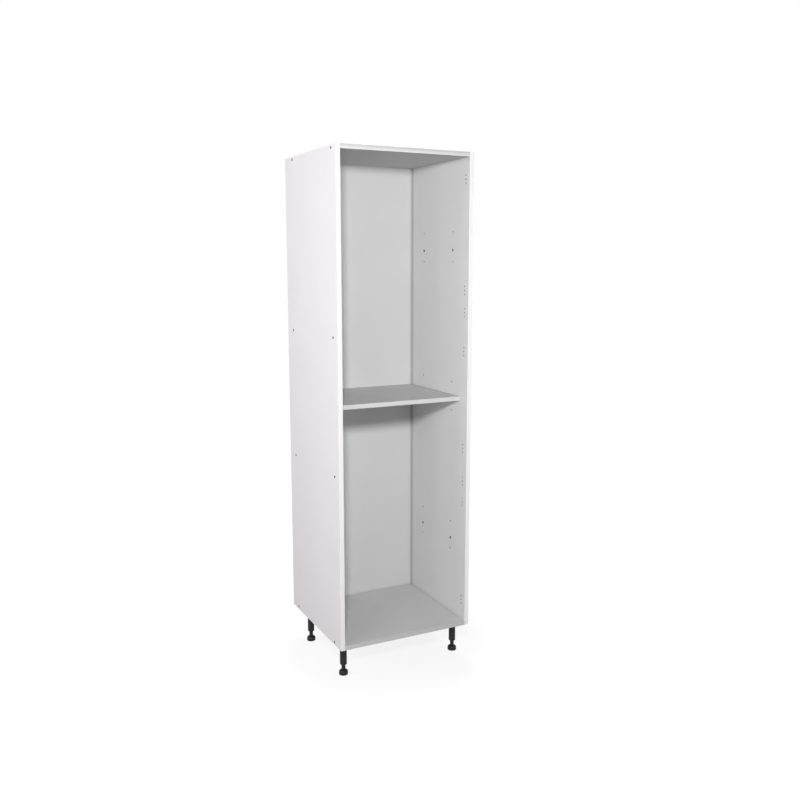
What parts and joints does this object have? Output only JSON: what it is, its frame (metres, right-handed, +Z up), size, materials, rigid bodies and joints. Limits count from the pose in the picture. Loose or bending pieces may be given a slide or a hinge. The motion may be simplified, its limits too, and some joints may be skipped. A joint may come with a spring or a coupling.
{
  "type": "appliance housing unit",
  "caption": "Tall open-fronted cabinet carcass in white board with a loose shelf, a grooved-in back, bored side panels and adjustable plastic legs.",
  "frame": {"origin": "on the floor, under the middle of the unit's width and depth", "axes": "+X to the right seen from the open front, +Y from the open front to the back, +Z up"},
  "size_m": [0.6, 0.56, 2.133],
  "materials": {
    "white_board": "white melamine-faced board, fine satin texture",
    "white_edging": "white plastic edging, satin",
    "grey_edging": "light grey plastic edging, satin",
    "zinc_steel": "zinc-plated steel",
    "dark_steel": "black-finished steel",
    "beech": "plain beech",
    "black_plastic": "black moulded plastic, fine matt texture"
  },
  "bodies": {
    "carcass": {"side_panel_left": "white_board", "side_panel_right": "white_board", "top_panel": "white_board", "base_panel": "white_board", "back_panel": "white_board", "side_edging_left": "white_edging", "side_edging_right": "white_edging", "top_edging": "white_edging", "base_edging": "grey_edging", "panel_screw_base_left_front": "dark_steel", "panel_screw_base_left_back": "dark_steel", "panel_screw_base_right_front": "dark_steel", "panel_screw_base_right_back": "dark_steel", "panel_screw_top_left_front": "dark_steel", "panel_screw_top_left_back": "dark_steel", "panel_screw_top_right_front": "dark_steel", "panel_screw_top_right_back": "dark_steel", "dowel_base_left_front": "beech", "dowel_base_left_back": "beech", "dowel_base_right_front": "beech", "dowel_base_right_back": "beech", "dowel_top_left_front": "beech", "dowel_top_left_back": "beech", "dowel_top_right_front": "beech", "dowel_top_right_back": "beech", "shelf_peg_left_front": "zinc_steel", "shelf_peg_left_back": "zinc_steel", "shelf_peg_right_front": "zinc_steel", "shelf_peg_right_back": "zinc_steel", "leg_socket_left_front": "black_plastic", "leg_socket_left_back": "black_plastic", "leg_socket_right_front": "black_plastic", "leg_socket_right_back": "black_plastic", "leg_tube_left_front": "black_plastic", "leg_tube_left_back": "black_plastic", "leg_tube_right_front": "black_plastic", "leg_tube_right_back": "black_plastic", "leg_screw_left_front_1": "zinc_steel", "leg_screw_left_front_2": "zinc_steel", "leg_screw_left_front_3": "zinc_steel", "leg_screw_left_front_4": "zinc_steel", "leg_screw_left_back_1": "zinc_steel", "leg_screw_left_back_2": "zinc_steel", "leg_screw_left_back_3": "zinc_steel", "leg_screw_left_back_4": "zinc_steel", "leg_screw_right_front_1": "zinc_steel", "leg_screw_right_front_2": "zinc_steel", "leg_screw_right_front_3": "zinc_steel", "leg_screw_right_front_4": "zinc_steel", "leg_screw_right_back_1": "zinc_steel", "leg_screw_right_back_2": "zinc_steel", "leg_screw_right_back_3": "zinc_steel", "leg_screw_right_back_4": "zinc_steel"},
    "shelf": {"shelf_panel": "white_board", "shelf_edging": "white_edging"},
    "foot_left_front": {"leg_foot_left_front": "black_plastic"},
    "foot_left_back": {"leg_foot_left_back": "black_plastic"},
    "foot_right_front": {"leg_foot_right_front": "black_plastic"},
    "foot_right_back": {"leg_foot_right_back": "black_plastic"}
  },
  "joints": [
    {"name": "shelf_slide", "type": "slide", "parent": "carcass", "child": "shelf", "axis": [0, -1, 0], "range_m": [0, 0.5]},
    {"name": "foot_left_front_height", "type": "slide", "parent": "carcass", "child": "foot_left_front", "axis": [0, 0, -1], "range_m": [-0.018, 0.03]},
    {"name": "foot_left_back_height", "type": "slide", "parent": "carcass", "child": "foot_left_back", "axis": [0, 0, -1], "range_m": [-0.018, 0.03]},
    {"name": "foot_right_front_height", "type": "slide", "parent": "carcass", "child": "foot_right_front", "axis": [0, 0, -1], "range_m": [-0.018, 0.03]},
    {"name": "foot_right_back_height", "type": "slide", "parent": "carcass", "child": "foot_right_back", "axis": [0, 0, -1], "range_m": [-0.018, 0.03]}
  ]
}
